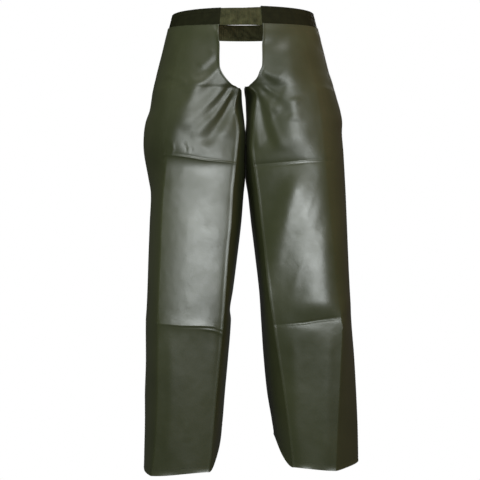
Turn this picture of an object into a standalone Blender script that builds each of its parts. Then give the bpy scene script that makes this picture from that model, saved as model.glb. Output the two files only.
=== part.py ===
# Vinyl chaps: two hollow legs hanging from a waistband, open at the front in a U and open at the seat.
#
# Metres, +Z up. The origin is the middle of the waist ring, half way up the waistband.
# The front faces -Y, and the wearer's left is at +X.
# Every panel is a thin wall: its outer face is worked out first, and its inner face is that one
# moved inwards by the wall's thickness.

import math
from collections import namedtuple

import bpy
from mathutils import Vector

# Cloth and seams
WALL = 0.0015
SEAM_GAP = 0.0004
NORMAL_STEP = 0.002
TURN_STEP = 0.02

# Waist ring: the outer face of the casings is an ellipse that widens downwards
WAIST_HALF_WIDTH = 0.1728
WAIST_HALF_DEPTH = 0.1080
WAIST_FLARE = 0.25
CASING_BOTTOM = -0.0205
CASING_WALL = 0.0012
WEBBING_TOP = 0.0194
WEBBING_BOTTOM = -0.0186
WEBBING_THICKNESS = 0.0018
WEBBING_CLEARANCE = 0.0005

# The panels are lapped onto the outer face of the casings, higher at the sides than at the front.
# The seat is open between the casings' back ends.
INNER_FRONT_ANGLE = math.radians(4.0)
CREASE_ANGLE = math.radians(50.0)
SIDE_ANGLE = math.radians(90.0)
CASING_BACK_ANGLE = math.radians(144.0)
INNER_BACK_ANGLE = math.radians(168.0)
LAP_GAP = 0.0010
SIDE_TOP = -0.0100
WAIST_BLEND_START = -0.025
WAIST_BLEND_END = -0.068
HEM_LIMIT = -1.050
TOP_EASE_END = 0.08
HEM_EASE_START = 0.8

# Gathers of the bare webbing
RIB_PITCH = 0.0052
RIB_HEIGHT = 0.0008
RIB_STATIONS = 4
RIB_END_FADE = 0.05
RIB_EVENNESS = 0.75
RIB_SWELL_WAVES = 7.0
BACK_RIB_PITCH = 0.0110
PLAIN_STATION_ANGLE = math.radians(6.0)

# Columns of one panel, counted between neighbouring knots of a section
SIDE_COLUMNS = 5
FRONT_COLUMNS = 9
INSIDE_COLUMNS = 4
BACK_INNER_COLUMNS = 4
BACK_COLUMNS = 5
BACK_OUTER_COLUMNS = 7

# Rows of the panels: an even spacing, with more rows where the cloth turns quickly
ROW_SPACING = 0.029
RowCluster = namedtuple("RowCluster", "height spread extra")
ROW_CLUSTERS = (
    RowCluster(height=-0.146, spread=0.018, extra=4),
    RowCluster(height=-0.215, spread=0.030, extra=2),
    RowCluster(height=-0.328, spread=0.011, extra=4),
    RowCluster(height=-0.704, spread=0.014, extra=4),
)

# A section of one leg. x values are measured outwards from the middle plane of the garment.
# outer: the outseam. crease: the fold at the outer edge of the front face. seam: the inseam, or
# the edge of the U above the crotch. inner: the innermost point. back_inner: the inner corner of the
# back face. back: depth of the back face.
Section = namedtuple("Section", "height outer crease crease_y seam seam_y inner inner_y back_inner back")

RIGHT_LEG_SECTIONS = (
    Section(-0.020, 0.1805, 0.134, -0.078, 0.0527, -0.109, 0.0120, -0.108, 0.048, 0.108),
    Section(-0.058, 0.1896, 0.143, -0.086, 0.0527, -0.114, 0.0120, -0.100, 0.048, 0.112),
    Section(-0.113, 0.2035, 0.154, -0.094, 0.0527, -0.117, 0.0120, -0.070, 0.048, 0.116),
    Section(-0.126, 0.2065, 0.157, -0.096, 0.0483, -0.116, 0.0110, -0.055, 0.048, 0.117),
    Section(-0.140, 0.2100, 0.159, -0.098, 0.0391, -0.113, 0.0090, -0.040, 0.048, 0.118),
    Section(-0.154, 0.2130, 0.162, -0.100, 0.0253, -0.107, 0.0070, -0.025, 0.048, 0.118),
    Section(-0.161, 0.2145, 0.163, -0.101, 0.0112, -0.100, 0.0055, -0.012, 0.048, 0.118),
    Section(-0.202, 0.2208, 0.168, -0.102, 0.0180, -0.094, 0.0000, 0.000, 0.048, 0.117),
    Section(-0.228, 0.2299, 0.171, -0.1020, 0.0130, -0.0910, -0.0032, 0.004, 0.046, 0.115),
    Section(-0.257, 0.2346, 0.173, -0.1010, 0.0085, -0.0900, -0.0058, 0.006, 0.044, 0.112),
    Section(-0.300, 0.2346, 0.174, -0.1010, 0.0120, -0.0890, -0.0060, 0.008, 0.044, 0.107),
    Section(-0.361, 0.2240, 0.179, -0.1010, 0.0185, -0.0890, -0.0054, 0.008, 0.044, 0.100),
    Section(-0.399, 0.2180, 0.183, -0.1020, 0.0222, -0.0900, -0.0016, 0.008, 0.046, 0.096),
    Section(-0.467, 0.2207, 0.187, -0.1030, 0.0260, -0.0920, 0.0038, 0.007, 0.052, 0.090),
    Section(-0.533, 0.2232, 0.189, -0.1050, 0.0322, -0.0940, 0.0115, 0.006, 0.058, 0.085),
    Section(-0.628, 0.2262, 0.193, -0.1080, 0.0391, -0.0970, 0.0238, 0.004, 0.068, 0.079),
    Section(-0.669, 0.2280, 0.194, -0.1090, 0.0420, -0.0980, 0.0308, 0.004, 0.074, 0.077),
    Section(-0.698, 0.2299, 0.194, -0.1095, 0.0445, -0.0985, 0.0284, 0.003, 0.073, 0.076),
    Section(-0.800, 0.2299, 0.195, -0.1040, 0.0545, -0.0945, 0.0365, 0.002, 0.079, 0.075),
    Section(-0.868, 0.2322, 0.196, -0.1000, 0.0612, -0.0915, 0.0427, 0.002, 0.084, 0.076),
    Section(-0.933, 0.2322, 0.199, -0.0970, 0.0669, -0.0890, 0.0480, 0.002, 0.089, 0.078),
    Section(-1.000, 0.2335, 0.204, -0.0940, 0.0729, -0.0870, 0.0550, 0.002, 0.094, 0.080),
    Section(-1.050, 0.2346, 0.211, -0.0920, 0.0790, -0.0860, 0.0600, 0.002, 0.098, 0.082),
)

LEFT_LEG_SECTIONS = (
    Section(-0.020, 0.1785, 0.132, -0.078, 0.0425, -0.111, 0.0100, -0.108, 0.048, 0.108),
    Section(-0.058, 0.1896, 0.143, -0.086, 0.0425, -0.115, 0.0100, -0.100, 0.048, 0.112),
    Section(-0.113, 0.2035, 0.155, -0.094, 0.0425, -0.118, 0.0100, -0.070, 0.048, 0.116),
    Section(-0.126, 0.2080, 0.158, -0.096, 0.0370, -0.117, 0.0090, -0.055, 0.048, 0.117),
    Section(-0.140, 0.2125, 0.161, -0.098, 0.0310, -0.114, 0.0060, -0.040, 0.048, 0.118),
    Section(-0.152, 0.2155, 0.164, -0.100, 0.0190, -0.108, 0.0035, -0.025, 0.048, 0.118),
    Section(-0.158, 0.2175, 0.166, -0.101, 0.0125, -0.103, 0.0030, -0.008, 0.044, 0.118),
    Section(-0.174, 0.2220, 0.169, -0.102, 0.0285, -0.101, 0.0055, -0.002, 0.040, 0.118),
    Section(-0.202, 0.2300, 0.174, -0.102, 0.0280, -0.099, 0.0071, 0.002, 0.034, 0.117),
    Section(-0.228, 0.2346, 0.178, -0.1020, 0.0240, -0.0950, 0.0090, 0.004, 0.028, 0.115),
    Section(-0.257, 0.2340, 0.181, -0.1010, 0.0225, -0.0930, 0.0072, 0.006, 0.024, 0.112),
    Section(-0.300, 0.2375, 0.185, -0.1010, 0.0193, -0.0910, 0.0070, 0.006, 0.023, 0.107),
    Section(-0.361, 0.2410, 0.191, -0.1010, 0.0275, -0.0900, 0.0075, 0.006, 0.024, 0.100),
    Section(-0.400, 0.2430, 0.194, -0.1020, 0.0330, -0.0910, 0.0118, 0.007, 0.034, 0.096),
    Section(-0.467, 0.2458, 0.200, -0.1030, 0.0405, -0.0930, 0.0190, 0.008, 0.050, 0.090),
    Section(-0.533, 0.2484, 0.206, -0.1050, 0.0490, -0.0950, 0.0270, 0.006, 0.066, 0.085),
    Section(-0.628, 0.2524, 0.215, -0.1080, 0.0600, -0.0980, 0.0380, 0.004, 0.085, 0.079),
    Section(-0.698, 0.2559, 0.226, -0.1090, 0.0685, -0.0990, 0.0427, 0.003, 0.090, 0.076),
    Section(-0.784, 0.2630, 0.224, -0.1040, 0.0815, -0.0950, 0.0485, 0.002, 0.096, 0.075),
    Section(-0.868, 0.2678, 0.220, -0.1000, 0.0943, -0.0915, 0.0569, 0.002, 0.103, 0.076),
    Section(-0.933, 0.2708, 0.217, -0.0970, 0.1027, -0.0890, 0.0678, 0.002, 0.112, 0.078),
    Section(-1.000, 0.2725, 0.214, -0.0940, 0.1103, -0.0870, 0.0780, 0.002, 0.121, 0.080),
    Section(-1.050, 0.2730, 0.213, -0.0920, 0.1145, -0.0860, 0.0850, 0.002, 0.126, 0.082),
)

# Top edge of a back panel at the crotch: a little up at the inseam, then down to a saddle, and from
# RISE_START on (in turns) up to the casing over RISE_LENGTH
SADDLE_LIFT = 0.007
SADDLE_DROP = 0.016
RISE_START = 3.7
RISE_LENGTH = 1.3
RISE_POWER = 1.4

# Height of the hem at each knot of the section, from the outseam round to the outseam again
Hem = namedtuple("Hem", "outseam crease inseam inside back_inner back_outer")
RIGHT_LEG_HEM = Hem(-1.044, -1.048, -1.040, -0.958, -0.985, -1.025)
LEFT_LEG_HEM = Hem(-1.030, -1.036, -1.029, -0.968, -0.985, -1.018)

# How far past its ends a fold runs, and how slowly it fades there, as shares of its length
FOLD_OVERRUN = 0.06
FOLD_END_FADE = 0.2

# Where the folds fade out on a front panel: turns from its side and from its inner edge, and a
# height below its top
FOLD_SIDE_FADE = 0.8
FOLD_EDGE_FADE = 0.12
FOLD_TOP_FADE = 0.04

# A fold or bulge of the cloth: a soft ridge (or a trough, with a negative depth) along a line from
# start to end on the front, given as outward distance and height
Fold = namedtuple("Fold", "start_x start_z end_x end_z width depth")

RIGHT_LEG_FOLDS = (
    Fold(0.178, -0.312, 0.012, -0.327, 0.008, 0.0022),
    Fold(0.176, -0.329, 0.016, -0.338, 0.009, -0.0026),
    Fold(0.192, -0.697, 0.046, -0.704, 0.008, 0.0020),
    Fold(0.192, -0.712, 0.048, -0.718, 0.011, -0.0024),
    Fold(0.052, -0.125, 0.150, -0.235, 0.017, 0.0045),
    Fold(0.030, -0.158, 0.110, -0.290, 0.012, -0.0030),
    Fold(0.020, -0.168, 0.055, -0.290, 0.012, 0.0030),
    Fold(0.056, -0.095, 0.105, -0.120, 0.011, 0.0020),
)

LEFT_LEG_FOLDS = (
    Fold(0.022, -0.325, 0.200, -0.318, 0.009, 0.0020),
    Fold(0.022, -0.313, 0.200, -0.306, 0.010, -0.0020),
    Fold(0.068, -0.705, 0.235, -0.688, 0.009, 0.0024),
    Fold(0.068, -0.690, 0.235, -0.672, 0.011, -0.0026),
    Fold(0.044, -0.112, 0.115, -0.165, 0.016, 0.0028),
    Fold(0.034, -0.150, 0.090, -0.260, 0.014, 0.0026),
    Fold(0.044, -0.135, 0.150, -0.250, 0.015, -0.0022),
)

# The back face: how far out its outer corner lies, as a share of the section's width, and how deep
# its two corners lie, as shares of the section's back depth. It changes from hip to leg form.
BackForm = namedtuple("BackForm", "corner_share corner_depth inner_depth")
HIP_BACK = BackForm(corner_share=0.57, corner_depth=0.90, inner_depth=0.97)
LEG_BACK = BackForm(corner_share=0.74, corner_depth=1.00, inner_depth=0.93)
HIP_HEIGHT = -0.100
HIP_LENGTH = 0.150

# How sharply the section turns at the inseam and at the outer crease, from 0 round to 1 sharp, and
# how full it is at the outseam
SEAM_SHARPNESS = 0.55
HIP_CREASE_SHARPNESS = 0.10
LEG_CREASE_SHARPNESS = 0.80
OUTSEAM_FULLNESS = 0.62
CREASE_FADE = 0.10

# front_top: top edge of the front panel at the U. crotch: bottom of the U. crease_start: height at
# which the outer crease begins
Leg = namedtuple("Leg", "name side sections hem folds casing_top front_top crotch crease_start")
LEGS = (
    Leg(
        name="right",
        side=-1,
        sections=RIGHT_LEG_SECTIONS,
        hem=RIGHT_LEG_HEM,
        folds=RIGHT_LEG_FOLDS,
        casing_top=0.0225,
        front_top=-0.0178,
        crotch=-0.1610,
        crease_start=-0.250,
    ),
    Leg(
        name="left",
        side=1,
        sections=LEFT_LEG_SECTIONS,
        hem=LEFT_LEG_HEM,
        folds=LEFT_LEG_FOLDS,
        casing_top=0.0262,
        front_top=-0.0156,
        crotch=-0.1580,
        crease_start=-0.600,
    ),
)

# Colours as seen: base colour, roughness
OLIVE_VINYL = ((0.045, 0.053, 0.028, 1.0), 0.32)
OLIVE_CASING = ((0.016, 0.018, 0.005, 1.0), 0.75)
KHAKI_WEBBING = ((0.090, 0.082, 0.050, 1.0), 0.85)


def clear_scene():
    for item in list(bpy.data.objects):
        bpy.data.objects.remove(item)


def make_material(name, finish):
    colour, roughness = finish
    material = bpy.data.materials.new(name)
    material.use_nodes = True
    shader = material.node_tree.nodes["Principled BSDF"]
    shader.inputs["Base Color"].default_value = colour
    shader.inputs["Roughness"].default_value = roughness
    shader.inputs["Metallic"].default_value = 0.0
    return material


def add_object(name, vertices, faces, material):
    mesh = bpy.data.meshes.new(name)
    mesh.from_pydata(vertices, [], faces)
    mesh.materials.append(material)
    mesh.validate()
    mesh.shade_smooth()
    mesh.set_sharp_from_angle(angle=math.radians(40.0))
    item = bpy.data.objects.new(name, mesh)
    bpy.context.scene.collection.objects.link(item)
    return item


def smooth_step(value):
    value = min(max(value, 0.0), 1.0)
    return value * value * (3.0 - 2.0 * value)


def mix(first, second, share):
    return first + (second - first) * share


def cubic(values, slopes, span, share):
    """Hermite curve between two values whose slopes are given per unit of span."""
    square = share * share
    cube = square * share
    return (
        values[0] * (2 * cube - 3 * square + 1)
        + slopes[0] * span * (cube - 2 * square + share)
        + values[1] * (3 * square - 2 * cube)
        + slopes[1] * span * (cube - square)
    )


def section_at(sections, height):
    """The section at a height, smoothly between the rows of the table."""
    last = len(sections) - 2
    index = 0
    while index < last and height < sections[index + 1].height:
        index += 1
    upper = sections[index]
    lower = sections[index + 1]
    before = sections[max(index - 1, 0)]
    after = sections[min(index + 2, len(sections) - 1)]
    span = lower.height - upper.height
    share = min(max((height - upper.height) / span, 0.0), 1.0)
    columns = []
    for name in Section._fields:
        low, high = getattr(upper, name), getattr(lower, name)
        slopes = (
            (high - getattr(before, name)) / (lower.height - before.height),
            (getattr(after, name) - low) / (after.height - upper.height),
        )
        columns.append(cubic((low, high), slopes, span, share))
    return Section(*columns)


def section_knots(section):
    """The six knots of a section, from the outseam across the front and round the back."""
    width = section.outer - section.inner
    below_hip = smooth_step((HIP_HEIGHT - section.height) / HIP_LENGTH)
    corner_share = mix(HIP_BACK.corner_share, LEG_BACK.corner_share, below_hip)
    corner_depth = mix(HIP_BACK.corner_depth, LEG_BACK.corner_depth, below_hip)
    inner_depth = mix(HIP_BACK.inner_depth, LEG_BACK.inner_depth, below_hip)
    return (
        Vector((section.outer, 0.0)),
        Vector((section.crease, section.crease_y)),
        Vector((section.seam, section.seam_y)),
        Vector((section.inner, section.inner_y)),
        Vector((section.back_inner, section.back * inner_depth)),
        Vector((section.inner + corner_share * width, section.back * corner_depth)),
    )


def knot_direction(knots, index):
    if index == 0:
        return Vector((0.0, -1.0))
    if index == 3:
        return Vector((0.0, 1.0))
    return (knots[(index + 1) % 6] - knots[index - 1]).normalized()


def leg_point(leg, turn, height):
    """A point of the leg's section. turn runs from 0 at the outseam to 6, one unit for each knot."""
    index = min(int(turn), 5)
    after = (index + 1) % 6
    share = turn - index
    knots = section_knots(section_at(leg.sections, height))
    start = knots[index]
    end = knots[after]
    chord = end - start
    creased = smooth_step((leg.crease_start - height) / CREASE_FADE)
    crease_sharpness = mix(HIP_CREASE_SHARPNESS, LEG_CREASE_SHARPNESS, creased)
    sharpness = (0.0, crease_sharpness, SEAM_SHARPNESS, 0.0, 0.0, 0.0)
    fullness = (OUTSEAM_FULLNESS, 1.0, 1.0, 1.0, 1.0, 1.0)
    leave = knot_direction(knots, index).lerp(chord.normalized(), sharpness[index]) * fullness[index]
    arrive = knot_direction(knots, after).lerp(chord.normalized(), sharpness[after]) * fullness[after]
    length = chord.length
    return Vector(
        cubic((start[axis], end[axis]), (leave[axis], arrive[axis]), length, share) for axis in range(2)
    )


def ring_point(angle, height, inset=0.0):
    """A point of the waist ring. The angle is 0 at the middle of the front and 180 degrees at the back."""
    grown = -WAIST_FLARE * height - inset
    return Vector(((WAIST_HALF_WIDTH + grown) * math.sin(angle), -(WAIST_HALF_DEPTH + grown) * math.cos(angle)))


def edge_angle(leg):
    """Angle of the waist ring at which the front opening's edge meets it."""
    return math.asin(leg.sections[0].seam / WAIST_HALF_WIDTH)


def ring_angle(leg, turn):
    """Angle of the waist ring that the leg's section reaches at this turn."""
    front = (SIDE_ANGLE, CREASE_ANGLE, edge_angle(leg), INNER_FRONT_ANGLE)
    back = (INNER_BACK_ANGLE, CASING_BACK_ANGLE, SIDE_ANGLE)
    if turn <= 3.0:
        index = min(int(turn), 2)
        return mix(front[index], front[index + 1], turn - index)
    index = min(int(max(turn - 4.0, 0.0)), 1)
    return mix(back[index], back[index + 1], max(turn - 4.0, 0.0) - index)


def fold_relief(leg, point, height):
    """How far the folds lift the cloth outwards at a point of the front."""
    total = 0.0
    for fold in leg.folds:
        line = Vector((fold.end_x - fold.start_x, fold.end_z - fold.start_z))
        place = Vector((point[0] - fold.start_x, height - fold.start_z))
        along = place.dot(line) / line.length_squared
        across = abs(place.x * line.y - place.y * line.x) / line.length
        start = smooth_step((along + FOLD_OVERRUN) / FOLD_END_FADE)
        end = smooth_step((1.0 + FOLD_OVERRUN - along) / FOLD_END_FADE)
        total += fold.depth * start * end * math.exp(-((across / fold.width) ** 2))
    return total


def base_point(leg, turn, height):
    """A point of the cloth's outer face before folds: the waist ring, changing into the leg's section."""
    flat = leg_point(leg, turn, height)
    share = smooth_step((WAIST_BLEND_START - height) / (WAIST_BLEND_START - WAIST_BLEND_END))
    if share < 1.0:
        lapped = ring_point(ring_angle(leg, turn), height, -(WALL + LAP_GAP))
        flat = lapped.lerp(flat, share)
    return Vector((flat.x, flat.y, height))


def base_normal(leg, turn, height):
    """Outward direction of the cloth, from the slopes along the section and up the leg."""
    turn_ahead = base_point(leg, (turn + TURN_STEP) % 6.0, height)
    turn_behind = base_point(leg, (turn - TURN_STEP) % 6.0, height)
    above = base_point(leg, turn, height + NORMAL_STEP)
    below = base_point(leg, turn, height - NORMAL_STEP)
    return (above - below).cross(turn_ahead - turn_behind).normalized()


def along_section(leg, turn, height):
    """Direction along the section, towards the next knot."""
    ahead = base_point(leg, (turn + TURN_STEP) % 6.0, height)
    behind = base_point(leg, (turn - TURN_STEP) % 6.0, height)
    return (ahead - behind).normalized()


def hem_height(leg, turn):
    hems = (*leg.hem, leg.hem.outseam)
    index = min(int(turn), 5)
    return mix(hems[index], hems[index + 1], smooth_step(turn - index))


def front_top(leg, turn):
    """Top edge of a front panel, from the side to the U."""
    return mix(SIDE_TOP, leg.front_top, smooth_step(turn / 2.0))


def back_top(leg, turn):
    """Top edge of a back panel: a low saddle under the crotch, then up to the casing's back end."""
    lift = SADDLE_LIFT * smooth_step((turn - 2.0) / 0.8)
    drop = SADDLE_DROP * smooth_step(turn - 2.8)
    rise = smooth_step((turn - RISE_START) / RISE_LENGTH) ** RISE_POWER
    return mix(leg.crotch + lift - drop, SIDE_TOP, rise)


def row_heights():
    """Heights of the rows from the casing down, closer together at each cluster."""
    steps = 2000
    weights = []
    for index in range(steps + 1):
        height = mix(SIDE_TOP, HEM_LIMIT, index / steps)
        density = 1.0 / ROW_SPACING
        for cluster in ROW_CLUSTERS:
            offset = (height - cluster.height) / cluster.spread
            density += cluster.extra * math.exp(-offset * offset) / (cluster.spread * math.sqrt(math.pi))
        weights.append(density)
    step = (SIDE_TOP - HEM_LIMIT) / steps
    totals = [0.0]
    for index in range(steps):
        totals.append(totals[-1] + (weights[index] + weights[index + 1]) / 2 * step)
    count = round(totals[-1])
    heights = []
    place = 0
    for row in range(count + 1):
        wanted = totals[-1] * row / count
        while place < steps and totals[place + 1] < wanted:
            place += 1
        share = (wanted - totals[place]) / (totals[place + 1] - totals[place]) if place < steps else 0.0
        heights.append(mix(SIDE_TOP, HEM_LIMIT, min(place + share, steps) / steps))
    return heights


def rows_with(heights, wanted):
    """The rows, with the nearest one moved to the wanted height."""
    nearest = min(heights, key=lambda height: abs(height - wanted))
    return [wanted if height == nearest else height for height in heights]


def turns_between(first, counts):
    """Turns of a panel's columns, from the first knot on, with so many columns for each unit."""
    turns = [float(first)]
    for offset, count in enumerate(counts):
        turns += [first + offset + (step + 1) / count for step in range(count)]
    return turns


def wall_from_grid(name, grid, flip, material):
    """A closed wall from a grid of (outer point, inner point) pairs."""
    rows = len(grid)
    columns = len(grid[0])
    vertices = [pair[0] for row in grid for pair in row] + [pair[1] for row in grid for pair in row]
    inner = rows * columns

    def at(row, column, layer):
        return layer * inner + row * columns + column

    faces = []
    for row in range(rows - 1):
        for column in range(columns - 1):
            corners = ((row, column), (row, column + 1), (row + 1, column + 1), (row + 1, column))
            faces.append([at(*corner, 0) for corner in corners])
            faces.append([at(*corner, 1) for corner in reversed(corners)])
    border = [(0, column) for column in range(columns)]
    border += [(row, columns - 1) for row in range(1, rows)]
    border += [(rows - 1, column) for column in range(columns - 2, -1, -1)]
    border += [(row, 0) for row in range(rows - 2, 0, -1)]
    for index, here in enumerate(border):
        there = border[(index + 1) % len(border)]
        faces.append([at(*here, 0), at(*here, 1), at(*there, 1), at(*there, 0)])
    if flip:
        faces = [list(reversed(face)) for face in faces]
    return add_object(name, vertices, faces, material)


def panel_pair(leg, turn, height, shift, relief):
    """Outer and inner point of a panel. shift moves a seam edge along the section, for the gap."""
    point = base_point(leg, turn, height)
    normal = base_normal(leg, turn, height)
    if shift:
        point = point + along_section(leg, turn, height) * shift
    outer = point + normal * relief
    inner = outer - normal * WALL
    return tuple(Vector((leg.side * place.x, place.y, place.z)) for place in (outer, inner))


def front_relief(leg, turn, height):
    """Folds of the front panel, fading out towards its side and its edges."""
    fade = smooth_step(turn / FOLD_SIDE_FADE) * smooth_step((2.0 - turn) / FOLD_EDGE_FADE)
    fade *= smooth_step((SIDE_TOP - height) / FOLD_TOP_FADE)
    if fade == 0.0:
        return 0.0
    return fade * fold_relief(leg, base_point(leg, turn, height), height)


def eased_height(leg, turn, height, top):
    """A row's height, with the first rows eased to the panel's top edge and the last ones to its hem."""
    drop = (height - SIDE_TOP) / (HEM_LIMIT - SIDE_TOP)
    start = 1.0 - smooth_step(drop / TOP_EASE_END)
    end = smooth_step((drop - HEM_EASE_START) / (1.0 - HEM_EASE_START))
    return height + (top - SIDE_TOP) * start + (hem_height(leg, turn) - HEM_LIMIT) * end


def make_front_panel(leg, heights, material):
    turns = turns_between(0, (SIDE_COLUMNS, FRONT_COLUMNS))
    grid = []
    for height in heights:
        row = []
        for turn in turns:
            place = eased_height(leg, turn, height, front_top(leg, turn))
            shift = SEAM_GAP / 2 if turn == 0.0 else -SEAM_GAP / 2 if turn == 2.0 else 0.0
            row.append(panel_pair(leg, turn, place, shift, front_relief(leg, turn, place)))
        grid.append(row)
    return wall_from_grid(f"front_panel_{leg.name}", grid, leg.side < 0, material)


def make_back_panel(leg, heights, material):
    counts = (INSIDE_COLUMNS, BACK_INNER_COLUMNS, BACK_COLUMNS, BACK_OUTER_COLUMNS)
    turns = turns_between(2, counts)
    grid = []
    for seam_height in [height for height in heights if height <= leg.crotch]:
        seam_place = eased_height(leg, 2.0, seam_height, leg.front_top)
        share = (seam_place - leg.crotch) / (leg.hem.inseam - leg.crotch)
        row = []
        for turn in turns:
            place = mix(back_top(leg, turn), hem_height(leg, turn), share)
            shift = SEAM_GAP / 2 if turn == 2.0 else -SEAM_GAP / 2 if turn == 6.0 else 0.0
            row.append(panel_pair(leg, turn, place, shift, 0.0))
        grid.append(row)
    return wall_from_grid(f"back_panel_{leg.name}", grid, leg.side < 0, material)


def ring_vertex(side, angle, height, inset):
    flat = ring_point(angle, height, inset)
    return Vector((side * flat.x, flat.y, height))


def make_casing(leg, material):
    """A flat sleeve round one side of the waist, open at both ends for the webbing."""
    start = edge_angle(leg)
    count = round((CASING_BACK_ANGLE - start) / PLAIN_STATION_ANGLE)
    slot = WEBBING_THICKNESS + 2 * WEBBING_CLEARANCE
    slot_top = WEBBING_TOP + WEBBING_CLEARANCE
    slot_bottom = WEBBING_BOTTOM - WEBBING_CLEARANCE
    depth = 2 * CASING_WALL + slot
    profile = (
        (0.0, CASING_BOTTOM),
        (0.0, leg.casing_top),
        (depth, leg.casing_top),
        (depth, CASING_BOTTOM),
        (CASING_WALL, slot_bottom),
        (CASING_WALL, slot_top),
        (CASING_WALL + slot, slot_top),
        (CASING_WALL + slot, slot_bottom),
    )
    vertices = []
    for station in range(count + 1):
        angle = mix(start, CASING_BACK_ANGLE, station / count)
        vertices += [ring_vertex(leg.side, angle, height, inset) for inset, height in profile]
    faces = []
    size = len(profile)
    for station in range(count):
        first = station * size
        for corner in range(4):
            after = (corner + 1) % 4
            faces.append([first + corner, first + after, first + size + after, first + size + corner])
            hole = [first + 4 + corner, first + size + 4 + corner, first + size + 4 + after, first + 4 + after]
            faces.append(hole)
    last = count * size
    for corner in range(4):
        after = (corner + 1) % 4
        faces.append([corner, 4 + corner, 4 + after, after])
        faces.append([last + corner, last + after, last + 4 + after, last + 4 + corner])
    if leg.side > 0:
        faces = [list(reversed(face)) for face in faces]
    return add_object(f"casing_{leg.name}", vertices, faces, material)


def arc_length(first, last):
    """Length along the waist ring between two angles."""
    steps = 60
    points = [ring_point(mix(first, last, step / steps), 0.0) for step in range(steps + 1)]
    return sum((after - before).length for before, after in zip(points, points[1:]))


def webbing_stations():
    """Signed angles round the ring with the rib height at each: ribs where the webbing is bare."""
    right, left = (edge_angle(leg) for leg in LEGS)
    back_half = math.pi - CASING_BACK_ANGLE
    stretches = (
        (-right, left, RIB_PITCH),
        (left, CASING_BACK_ANGLE, 0.0),
        (CASING_BACK_ANGLE, CASING_BACK_ANGLE + 2 * back_half, BACK_RIB_PITCH),
        (CASING_BACK_ANGLE + 2 * back_half, 2 * math.pi - right, 0.0),
    )
    stations = []
    for first, last, pitch in stretches:
        if pitch:
            ribs = round(arc_length(first, last) / pitch)
            count = ribs * RIB_STATIONS
        else:
            count = round((last - first) / PLAIN_STATION_ANGLE)
        for step in range(count):
            share = step / count
            rib = 0.0
            if pitch:
                ends = smooth_step(share / RIB_END_FADE) * smooth_step((1.0 - share) / RIB_END_FADE)
                swell = math.sin(RIB_SWELL_WAVES * share * math.pi)
                height = RIB_HEIGHT * ends * mix(swell, 1.0, RIB_EVENNESS)
                rib = height * math.sin(2 * math.pi * (step + 0.5) / RIB_STATIONS)
            stations.append((mix(first, last, share), rib))
    return stations


def make_webbing(material):
    outer = CASING_WALL + WEBBING_CLEARANCE
    profile = (
        (0.0, WEBBING_BOTTOM),
        (0.0, WEBBING_TOP),
        (WEBBING_THICKNESS, WEBBING_TOP),
        (WEBBING_THICKNESS, WEBBING_BOTTOM),
    )
    vertices = []
    for angle, rib in webbing_stations():
        vertices += [ring_vertex(1, angle, height, outer + inset - rib) for inset, height in profile]
    count = len(vertices) // 4
    faces = []
    for station in range(count):
        here = station * 4
        there = (station + 1) % count * 4
        for corner in range(4):
            after = (corner + 1) % 4
            faces.append([here + corner, there + corner, there + after, here + after])
    return add_object("belt_webbing", vertices, faces, material)


def main():
    clear_scene()
    vinyl = make_material("olive_vinyl", OLIVE_VINYL)
    casing_cloth = make_material("olive_casing", OLIVE_CASING)
    webbing_cloth = make_material("khaki_webbing", KHAKI_WEBBING)
    for leg in LEGS:
        heights = rows_with(row_heights(), leg.crotch)
        make_front_panel(leg, heights, vinyl.copy())
        make_back_panel(leg, heights, vinyl.copy())
        make_casing(leg, casing_cloth.copy())
    make_webbing(webbing_cloth)


main()
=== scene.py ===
import math

import bpy
import numpy as np
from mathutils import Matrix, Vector, noise


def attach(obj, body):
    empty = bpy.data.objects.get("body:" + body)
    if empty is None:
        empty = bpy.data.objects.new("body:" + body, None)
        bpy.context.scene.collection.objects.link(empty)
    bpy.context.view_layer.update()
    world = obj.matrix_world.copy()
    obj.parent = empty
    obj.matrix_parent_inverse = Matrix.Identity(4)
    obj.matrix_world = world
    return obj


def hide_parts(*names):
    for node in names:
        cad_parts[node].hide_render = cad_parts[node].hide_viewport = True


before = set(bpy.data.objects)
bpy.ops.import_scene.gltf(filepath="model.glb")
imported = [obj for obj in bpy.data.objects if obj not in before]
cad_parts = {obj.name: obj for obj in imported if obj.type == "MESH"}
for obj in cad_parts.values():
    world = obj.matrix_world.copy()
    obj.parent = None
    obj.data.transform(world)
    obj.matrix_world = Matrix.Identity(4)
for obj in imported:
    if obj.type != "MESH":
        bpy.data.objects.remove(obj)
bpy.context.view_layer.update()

print("frame loaded:", sorted(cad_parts))


# Plain sums used by every piece
def smoothStep(value):
    value = np.clip(value, 0.0, 1.0)
    return value * value * (3.0 - 2.0 * value)


def mix(first, second, share):
    return first + (second - first) * share


def hermite(first, last, firstSlope, lastSlope, share):
    square = share * share
    cube = square * share
    start = first * (2 * cube - 3 * square + 1) + firstSlope * (cube - 2 * square + share)
    return start + last * (3 * square - 2 * cube) + lastSlope * (cube - square)


def unit(vectors, axis=-1):
    return vectors / np.maximum(np.linalg.norm(vectors, axis=axis, keepdims=True), 1e-9)


def inMetres(table):  # the tables of folds and ribs are in millimetres
    return np.array(table) / 1000.0


# The waist ring, as the webbing and casings follow it
waist = {
    "halfWidth": 0.1728,
    "halfDepth": 0.1080,
    "flare": 0.25,
    "casingBottom": -0.0205,
    "casingWall": 0.0012,
    "webbingTop": 0.0194,
    "webbingBottom": -0.0186,
    "webbingThickness": 0.0018,
    "webbingClearance": 0.0005,
    "sideAngle": 90.0,  # places on the ring, in degrees from the middle of the front
    "creaseAngle": 50.0,
    "innerAngle": 4.0,
    "backInnerAngle": 168.0,
    "backAngle": 144.0,  # the casings end here
    "lapGap": 0.0010,
    "panelWall": 0.0015,  # of the solids, which the panels follow
    "sideTop": -0.0100,
    "blendStart": -0.025,
    "blendEnd": -0.068,
}

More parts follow.
